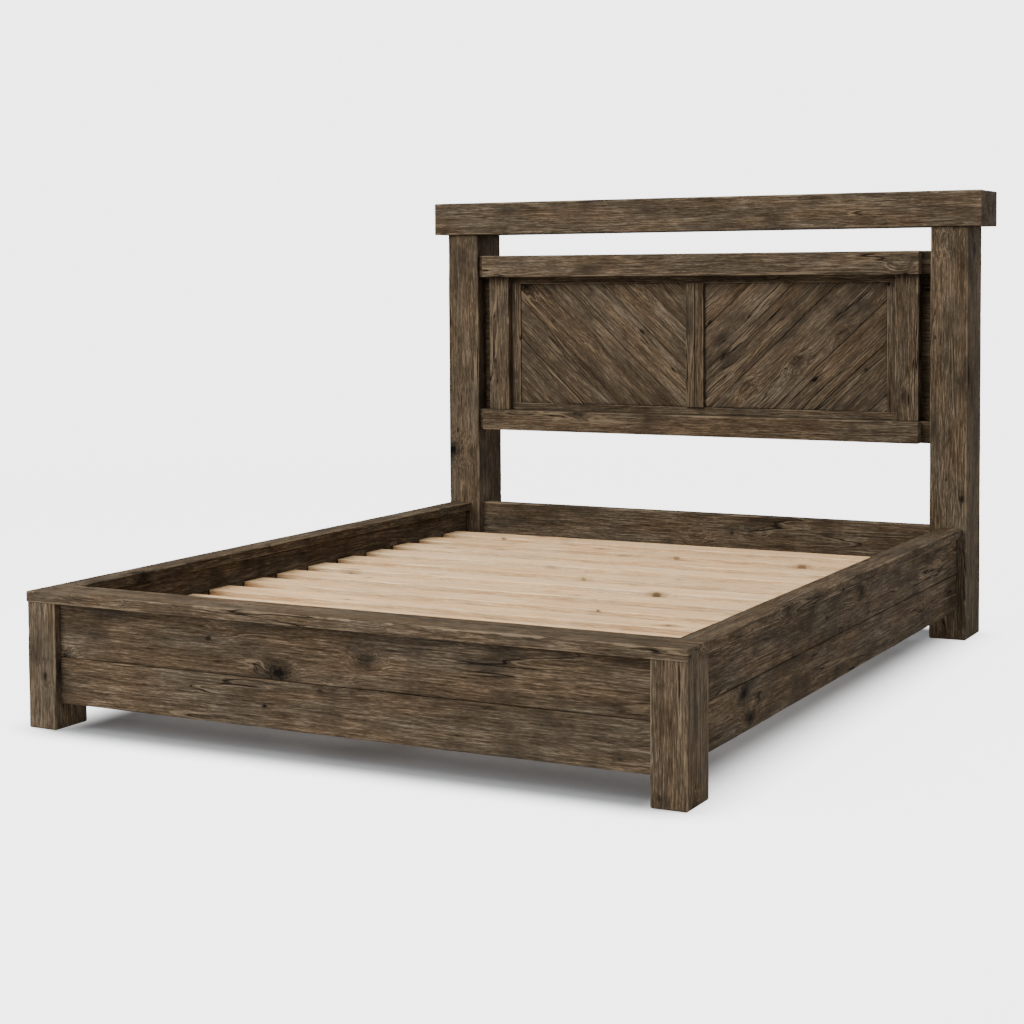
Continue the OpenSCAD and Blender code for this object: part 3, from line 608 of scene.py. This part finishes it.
# ---------------------------------------------------------------------------
# Low head rail: one board between the posts, well under the panel and
# behind the mattress, that keeps the posts from spreading.
# ---------------------------------------------------------------------------
low, high = (np.array(corner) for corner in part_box("low_head_rail"))
low[0], high[0] = -post_inside, post_inside
rail = timber("low_head_rail_board", low, high, "x", 700, ends=(0.001, 0.001), tone=0.45)
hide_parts("low_head_rail")

# ---------------------------------------------------------------------------
# Foot legs and cap: short posts under a broad flat board, whose front
# arris is worn wavy by years of knocks.
# ---------------------------------------------------------------------------
for number, side in enumerate(("left", "right")):
    node = f"foot_leg_{side}"
    leg = timber(f"{node}_timber", *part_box(node), "z", 720 + number, arris=0.003,
                 ends=(FOOT_CHAMFER, 0.001), chips=chipped(3, 0.002), tone=0.55)
    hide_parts(node)
cap = timber("foot_cap_board", *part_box("foot_cap"), "x", 730, arris=0.0028, ends=(0.002, 0.002),
             step=0.004, chips=[(1, 45, 0.0015), (2, 20, 0.0011), (0, 12, 0.0011)], tone=0.55)
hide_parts("foot_cap")

# ---------------------------------------------------------------------------
# Footboard: two wide boards set back between the legs, and behind them the
# rail that holds the cap and the centre beam's hanger.
# ---------------------------------------------------------------------------
BOARD_SEAM = 0.0012
for number, height in enumerate(("upper", "lower")):
    node = f"foot_board_{height}"
    low, high = (np.array(corner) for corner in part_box(node))
    low[2] += BOARD_SEAM / 2 * (height == "upper")
    high[2] -= BOARD_SEAM / 2 * (height == "lower")
    board = timber(f"{node}_plank", low, high, "x", 740 + number, arris=0.0028, rubbed=0.5,
                   ends=(0.001, 0.001), chips=chipped(12, 0.0015),
                   tone=0.47)
    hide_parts(node)
# the inner rail sits in shade behind the boards, and its darker wood is partly painted shade
rail = timber("foot_inner_rail_board", *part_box("foot_inner_rail"), "x", 745,
              ends=(0.001, 0.001), material=dark_and_shade_timber, slot="dark_stained_wood")
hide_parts("foot_inner_rail")

# ---------------------------------------------------------------------------
# Side rails: two boards one above the other under a flat cap that carries
# the foot cap's line back to the post.
# ---------------------------------------------------------------------------
for number, side in enumerate(("left", "right")):
    node = f"side_cap_{side}"
    cap = timber(f"{node}_board", *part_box(node), "y", 760 + number, arris=0.0026,
                 ends=(0.0008, 0.0008), chips=chipped(10, 0.002), tone=0.52)
    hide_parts(node)
    for row, height in enumerate(("upper", "lower")):
        node = f"side_board_{height}_{side}"
        low, high = (np.array(corner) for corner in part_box(node))
        low[2] += BOARD_SEAM / 2 * (height == "upper")
        high[2] -= BOARD_SEAM / 2 * (height == "lower")
        board = timber(f"{node}_plank", low, high, "y", 770 + 2 * number + row, arris=0.0028,
                       rubbed=0.5, ends=(0.0008, 0.0008), tone=0.52,
                       chips=chipped(12, 0.0015))
        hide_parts(node)

# ---------------------------------------------------------------------------
# Deck: planed pine slats on a ledger screwed to each side rail, with a
# centre beam on three short legs under them.
# ---------------------------------------------------------------------------
pale_pine = timber_finish(
    "pale_pine", dark=(0.30, 0.175, 0.085), middle=(0.44, 0.29, 0.155),
    light=(0.58, 0.41, 0.24), worn=(0.60, 0.44, 0.27), smoke_colour=(0.16, 0.09, 0.045),
    weather=0.12, knots=0.8)
PLANED = dict(material=pale_pine, slot="pale_pine", relief=0.0002, arris=0.002)
SLATS = range(1, 13)
for number in SLATS:
    node = f"slat_{number:02d}"
    slat = timber(f"{node}_board", *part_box(node), "x", 800 + number, step=0.04, **PLANED)
    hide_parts(node)
for number, side in enumerate(("left", "right")):
    node = f"slat_ledger_{side}"
    ledger = timber(f"{node}_batten", *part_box(node), "y", 820 + number, step=0.05, **PLANED)
    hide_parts(node)
beam = timber("centre_beam_timber", *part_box("centre_beam"), "y", 830, step=0.05, **PLANED)
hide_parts("centre_beam")
for number in (1, 2, 3):
    node = f"centre_leg_{number}"
    leg = timber(f"{node}_block", *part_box(node), "z", 840 + number, **PLANED)
    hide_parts(node)


# ---------------------------------------------------------------------------
# Steel fittings: plates, hangers, screws, tee nuts and stems, all bright
# zinc with the faint crystal bloom of plating.
# ---------------------------------------------------------------------------
def zinc_finish():
    """Zinc plate: cloudy blue-grey and yellow-grey bloom, with fine rubbing marks."""
    f = Finish("zinc_steel")
    place = f.node("ShaderNodeTexCoord", output=3)
    bloom = f.noise(place, (60.0, 60.0, 60.0), 3.0)
    marks = f.noise(place, (900.0, 40.0, 900.0), 2.0)
    colour = f.blend(bloom.rise(0.35, 0.65), (0.40, 0.41, 0.43), (0.52, 0.50, 0.46))
    f.set(Base_Color=colour, Metallic=1.0, Roughness=0.28 + 0.2 * bloom + 0.12 * marks,
          Normal=f.bump(marks, 0.2, 0.0002))
    return f.material


def plastic_finish():
    """Black moulded plastic: fine spark texture and a little dust."""
    f = Finish("black_plastic")
    place = f.node("ShaderNodeTexCoord", output=3)
    grit = f.noise(place, (1400.0, 1400.0, 1400.0), 2.0)
    dust = f.noise(place, (40.0, 40.0, 40.0), 3.0).rise(0.5, 0.8)
    f.set(Base_Color=f.blend(dust * 0.35, (0.018, 0.018, 0.019), (0.09, 0.085, 0.08)),
          Roughness=0.5 + 0.2 * grit, Normal=f.bump(grit, 0.3, 0.0002))
    return f.material


zinc = zinc_finish()
plastic = plastic_finish()


def turned(profile, columns):
    """A profile of (radius, height) turned about Z. It starts and ends on the axis and runs
    with the solid on its left, so the faces look outwards."""
    profile = np.asarray(profile, float)
    turn = np.arange(columns) * 2 * math.pi / columns
    rings = profile[1:-1]
    points = np.stack([rings[:, :1] * np.cos(turn), rings[:, :1] * np.sin(turn),
                       np.broadcast_to(rings[:, 1:], (len(rings), columns))], -1).reshape(-1, 3)
    first, last = len(points), len(points) + 1
    points = np.vstack([points, [(0, 0, profile[0, 1])], [(0, 0, profile[-1, 1])]])
    faces = grid_faces(len(rings), columns)
    near, after = np.arange(columns), np.roll(np.arange(columns), -1)
    top = (len(rings) - 1) * columns
    faces += np.stack([after, near, np.full(columns, first)], -1).tolist()
    faces += np.stack([near + top, after + top, np.full(columns, last)], -1).tolist()
    return points, faces


def set_out(name, shape, places, material, body="frame", sharp=None):
    """One piece with a copy of the shape at each place; a place is a 3 x 3 turn and an origin."""
    points, faces = shape
    moved = np.vstack([points @ np.asarray(turn, float).T + origin for turn, origin in places])
    every = [[i + k * len(points) for i in face] for k in range(len(places)) for face in faces]
    piece = new_piece(name, moved, every, material, body)
    if sharp:
        piece.data.set_sharp_from_angle(angle=math.radians(sharp))
    return piece


UPRIGHT = np.eye(3)
TIP_RIGHT = np.array([(0, 0, -1), (0, 1, 0), (1, 0, 0)])
TIP_LEFT = np.array([(0, 0, 1), (0, 1, 0), (-1, 0, 0)])


def countersunk_screw(long):
    """A wood screw, head flush at 0 and tip down: a cross is pressed into the head, and the
    thread's radius falls away from its crest as a saw tooth that climbs as it turns."""
    head_r, neck_r, shank_r = 0.0044, 0.0018, 0.0022
    head_t, pitch, columns = 0.0026, 0.0022, 32
    shank = np.arange(-long + 0.004, -head_t - 0.006, pitch / 2)
    profile = [(0, -long), (0.0006, -long)] + [(shank_r, z) for z in shank]
    profile += [(neck_r, -head_t - 0.005), (neck_r, -head_t), (head_r, -0.0003),
                (head_r - 0.0003, 0)]
    profile += [(r, 0) for r in np.arange(head_r - 0.0008, 0.0002, -0.0004)] + [(0, 0)]
    points, faces = turned(profile, columns)
    x, y, z = points.T
    out = np.hypot(x, y)
    turn = np.arctan2(y, x) / (2 * math.pi)
    crest = 1 - np.abs(((z / pitch - turn) % 1.0) - 0.5) * 2
    threaded = (z < -head_t - 0.0055) & (out > 0.001)
    share = np.where(threaded, 0.70 + 0.30 * crest, 1.0)
    arm = np.minimum(np.abs(x), np.abs(y))
    pressed = np.clip((0.00065 - arm) / 0.0003, 0, 1) * np.clip((0.0025 - out) / 0.0005, 0, 1)
    depth = np.where(z > -0.0002, 0.0014 * pressed, 0.0)
    return np.stack([x * share, y * share, z - depth], -1), faces


# Deck screws: one down through each slat's ends and middle, and a row through each
# ledger into the side boards, stepped up and down about the boards' seam.
slats = [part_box(f"slat_{k:02d}") for k in SLATS]
ledger_low, ledger_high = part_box("slat_ledger_right")
ledger_middle = (ledger_low.x + ledger_high.x) / 2
seam_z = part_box("side_board_lower_right")[1].z
down = [(UPRIGHT, (x, (low.y + high.y) / 2, high.z))
        for low, high in slats for x in (-ledger_middle, 0.0, ledger_middle)]
outward = []
for k in range(1, len(slats)):
    y = (slats[k - 1][1].y + slats[k][0].y) / 2
    z = seam_z + (-0.009 if k % 2 else 0.012)
    outward += [(TIP_RIGHT, (ledger_low.x, y, z)), (TIP_LEFT, (-ledger_low.x, y, z))]
for name, long, places in (("slat_screws", 0.040, down), ("ledger_screws", 0.050, outward)):
    screws = set_out(name, countersunk_screw(long), places, zinc, sharp=35)
    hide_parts("deck_screws")

# Levelling feet: a threaded stem with a hexagon collar turns in each centre leg, and a
# moulded pad under it rises and falls with it.
THREAD_PITCH = 0.0015
HEX_TURN = math.pi / 3
for k in (1, 2, 3):
    node = f"leveller_stem_{k}"
    low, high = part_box(node)
    pad_low, pad_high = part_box(f"leveller_pad_{k}")
    middle = ((low.x + high.x) / 2, (low.y + high.y) / 2, 0.0)
    stem_r, collar_r = 0.005, (high.x - low.x) / 2
    heights = np.arange(low.z + 0.0006, high.z - 0.0006, THREAD_PITCH / 5)
    profile = [(0, low.z), (stem_r - 0.0008, low.z)] + [(stem_r, z) for z in heights]
    profile += [(stem_r - 0.0008, high.z), (0, high.z)]
    points, faces = turned(profile, 30)
    turn = np.arctan2(points[:, 1], points[:, 0]) / (2 * math.pi)
    crest = np.abs(((points[:, 2] / THREAD_PITCH - turn) % 1.0) - 0.5) * 2
    threaded = np.hypot(points[:, 0], points[:, 1]) > stem_r - 0.0005
    points[:, :2] *= (1 - 0.14 * crest * threaded)[:, None]
    stem = set_out(f"threaded_{node}", (points, faces), [(UPRIGHT, middle)], zinc,
                   f"stem_{k}", sharp=50)
    collar_z, collar_t, bevel = 0.016, 0.007, 0.0009
    profile = [(0, collar_z), (collar_r - bevel, collar_z), (collar_r, collar_z + bevel / 2),
               (collar_r, collar_z + collar_t - bevel / 2), (collar_r - bevel, collar_z + collar_t),
               (0, collar_z + collar_t)]
    points, faces = turned(profile, 48)
    turn = np.arctan2(points[:, 1], points[:, 0])
    flat = collar_r * math.cos(HEX_TURN / 2) / np.cos((turn % HEX_TURN) - HEX_TURN / 2)
    out = np.hypot(points[:, 0], points[:, 1])
    points[:, :2] *= np.where(out > 0, np.minimum(1.0, flat / np.maximum(out, 1e-9)), 1.0)[:, None]
    collar = set_out(f"hexagon_{node}", (points, faces), [(UPRIGHT, middle)], zinc,
                     f"stem_{k}", sharp=25)
    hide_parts(node)
    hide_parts(node)

    pad_r, top_r, socket_r = (pad_high.x - pad_low.x) / 2, 0.014, 0.00505
    rim, top = 0.004, pad_high.z
    ribs = []
    for i, s in enumerate(np.linspace(0.04, 1.0, 25)):
        groove = 0.0005 if i % 4 in (1, 2) else 0.0
        ribs.append((pad_r + (top_r - pad_r) * s - groove, rim + (top - 0.001 - rim) * s))
    profile = [(0, 0), (pad_r - 0.001, 0), (pad_r - 0.0003, 0.0004), (pad_r, 0.0012), (pad_r, rim)]
    profile += ribs + [(top_r - 0.0008, top), (0.0058, top), (socket_r, top - 0.0008),
                       (socket_r, rim), (0, rim)]
    pad = set_out(f"moulded_leveller_pad_{k}", turned(profile, 64), [(UPRIGHT, middle)], plastic,
                  f"pad_{k}", sharp=40)
    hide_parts(f"leveller_pad_{k}")

# Floor glides: nailed plastic discs with a rounded rim, two under each leg and post.
GLIDE_R, GLIDE_T, RIM_R = 0.014, 0.003, 0.0012
PIN_R, PIN_TOP = 0.0016, 0.019
rim = [(GLIDE_R - RIM_R + RIM_R * math.sin(a), RIM_R - RIM_R * math.cos(a))
       for a in np.linspace(0, math.pi / 2, 6)]
glide = turned([(0, 0.0004), (0.004, 0.0004), (0.005, 0)] + rim
               + [(GLIDE_R, GLIDE_T - 0.0003), (GLIDE_R - 0.0003, GLIDE_T), (PIN_R, GLIDE_T),
                  (PIN_R, PIN_TOP), (0, PIN_TOP)], 40)
glide_places = []
for node, inset in (("foot_leg", 0.028), ("head_post", 0.040)):
    for side in ("left", "right"):
        low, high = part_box(f"{node}_{side}")
        x = (low.x + high.x) / 2
        glide_places += [(UPRIGHT, (x, low.y + inset, 0)), (UPRIGHT, (x, high.y - inset, 0))]
glides = set_out("nailed_glides", glide, glide_places, plastic, sharp=40)
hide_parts("floor_glides")

# Dowels: birch pins with chamfered ends and glue flutes, half in the posts and half in the beam.
low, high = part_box("beam_dowels")
DOWEL_R, DOWEL_CHAMFER = 0.010, 0.0015
heights = np.linspace(low.z + DOWEL_CHAMFER, high.z - DOWEL_CHAMFER, 9)
profile = [(0, low.z), (DOWEL_R - DOWEL_CHAMFER, low.z)] + [(DOWEL_R, z) for z in heights]
profile += [(DOWEL_R - DOWEL_CHAMFER, high.z), (0, high.z)]
points, faces = turned(profile, 72)
turn = np.arctan2(points[:, 1], points[:, 0])
points[:, :2] *= (1 - 0.03 * (np.cos(12 * turn) > 0.3))[:, None]
xs, ys = (low.x + DOWEL_R, high.x - DOWEL_R), (low.y + DOWEL_R, high.y - DOWEL_R)
dowel_places = [(UPRIGHT, (x, y, 0)) for x in xs for y in ys]
dowels = set_out("fluted_dowels", (points, faces), dowel_places, pale_pine, sharp=40)
grain = np.tile(points[:, [2, 0, 1]], (len(dowel_places), 1)) + (3.0, 0.04, 0.02)
paint(dowels, grain, np.zeros(len(grain)), 0.6)
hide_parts("beam_dowels")

# Plates, hangers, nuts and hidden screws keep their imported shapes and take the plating.
for node in ("rail_hook_plates", "post_hook_plates", "bracket_screws", "beam_hangers",
             "leg_plates", "tee_nuts"):
    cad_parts[node].material_slots[0].material = zinc

# ---------------------------------------------------------------------------
# Studio: a pale floor, white all round, one broad soft light from the front
# left, and weaker ones above, at the side, behind and for the headboard. The camera
# stands past the foot of the bed, to the right, and looks slightly down.
# ---------------------------------------------------------------------------
VIEW_FROM = Vector((2.389, -4.795, 1.093))
VIEW_TURN = math.radians(27.72)     # to the left of straight along the bed
VIEW_DROP = math.radians(2.88)      # below the horizon
VIEW_ROLL = math.radians(-0.35)

ahead = Vector((-math.sin(VIEW_TURN) * math.cos(VIEW_DROP),
                math.cos(VIEW_TURN) * math.cos(VIEW_DROP),
                -math.sin(VIEW_DROP)))
level = Vector((math.cos(VIEW_TURN), math.sin(VIEW_TURN), 0.0))
upward = level.cross(ahead)
right = level * math.cos(VIEW_ROLL) + upward * math.sin(VIEW_ROLL)
above = upward * math.cos(VIEW_ROLL) - level * math.sin(VIEW_ROLL)
view = bpy.data.cameras.new("view")
view.sensor_width = 36.0
view.lens = 68.7
view.shift_y = -0.1308
view.clip_end = 200.0
camera = bpy.data.objects.new("view", view)
camera.matrix_world = Matrix.Translation(VIEW_FROM) @ Matrix(
    (right, above, -ahead)).transposed().to_4x4()
bpy.context.collection.objects.link(camera)
bpy.context.scene.camera = camera

FLOOR_REACH = 60.0
floor_mesh = bpy.data.meshes.new("floor")
floor_mesh.from_pydata([(x * FLOOR_REACH, y * FLOOR_REACH, 0.0)
                        for x, y in ((-1, -1), (1, -1), (1, 1), (-1, 1))], [], [(0, 1, 2, 3)])
floor = bpy.data.objects.new("floor", floor_mesh)
bpy.context.collection.objects.link(floor)
pale = Finish("pale_floor")
floor_place = pale.node("ShaderNodeTexCoord", output=3)
floor_away = pale.node("ShaderNodeVectorMath", {"operation": "LENGTH"}, {0: floor_place}, output=1)
# the floor lights the bed as a white one would, but is seen darker, under a glow that lifts it to the
# white of the studio and fades out by the bed. That cut-out in the glow paints the bed's shadow on the
# floor: the dark floor round and under the bed is painted shadow laid over the real one the lamps cast
FLOOR_LIT, FLOOR_SEEN = (0.85, 0.85, 0.85), (0.165, 0.170, 0.177)
GLOW = 3.7
# the next two shape the painted shadow round the bed: where the glow begins, and how far it takes to
# come up
SHADOW_PAINT_INSET = (0.19, 0.04)   # from the sides of the bed's box to where the glow begins
SHADOW_PAINT_FADE = 0.25            # over this far it comes up to its full strength
seen = pale.node("ShaderNodeLightPath")
beside = pale.node("ShaderNodeVectorMath", {"operation": "SUBTRACT"}, {
    0: pale.node("ShaderNodeVectorMath", {"operation": "ABSOLUTE"}, {0: floor_place}),
    1: (cad_box[1].x - SHADOW_PAINT_INSET[0], cad_box[1].y - SHADOW_PAINT_INSET[1], 0.0)})
beside = pale.node("ShaderNodeVectorMath", {"operation": "MAXIMUM"}, {0: beside, 1: (0.0, 0.0, 0.0)})
# past the head and the foot it comes up 1.8 times as fast as at the sides, so the painted shadow is
# narrower there
beside = pale.stretched(beside, (1.0, 1.8, 0.0))
beside = pale.node("ShaderNodeVectorMath", {"operation": "LENGTH"}, {0: beside}, output=1)
pale.set(Base_Color=pale.blend(seen, FLOOR_LIT, FLOOR_SEEN), Roughness=0.9,
         Alpha=floor_away.rise(8.0, 3.0), Emission_Color=seen * beside.rise(0.0, SHADOW_PAINT_FADE),
         Emission_Strength=GLOW)
floor_mesh.materials.append(pale.material)

world = bpy.data.worlds.new("studio")
world.use_nodes = True
bpy.context.scene.world = world
sky = world.node_tree.nodes["Background"]
sky.inputs["Color"].default_value = (1.0, 1.0, 1.0, 1.0)
path = world.node_tree.nodes.new("ShaderNodeLightPath")
strength = world.node_tree.nodes.new("ShaderNodeMapRange")
strength.inputs["To Min"].default_value = 0.5
strength.inputs["To Max"].default_value = 4.1
world.node_tree.links.new(path.outputs["Is Camera Ray"], strength.inputs["Value"])
world.node_tree.links.new(strength.outputs["Result"], sky.inputs["Strength"])


def soft_light(name, place, aim, size, power):
    """A square area light at place that faces aim."""
    lamp = bpy.data.lights.new(name, "AREA")
    lamp.size = size
    lamp.energy = power
    light = bpy.data.objects.new(name, lamp)
    light.location = place
    light.rotation_euler = (Vector(aim) - Vector(place)).to_track_quat("-Z", "Y").to_euler()
    bpy.context.collection.objects.link(light)


soft_light("key", (-3.5, -7.0, 5.5), (0.0, 0.0, 0.4), 5.0, 1110.0)
soft_light("top", (0.5, -0.5, 6.0), (0.0, 0.0, 0.0), 6.0, 380.0)
soft_light("headboard", (-1.2, -2.4, 3.2), (0.0, 1.0, 0.9), 2.5, 200.0)
soft_light("side", (5.5, -1.0, 2.6), (0.9, 0.0, 0.4), 3.0, 110.0)
soft_light("back", (1.0, 6.5, 3.5), (0.0, 1.0, 0.6), 4.0, 260.0)
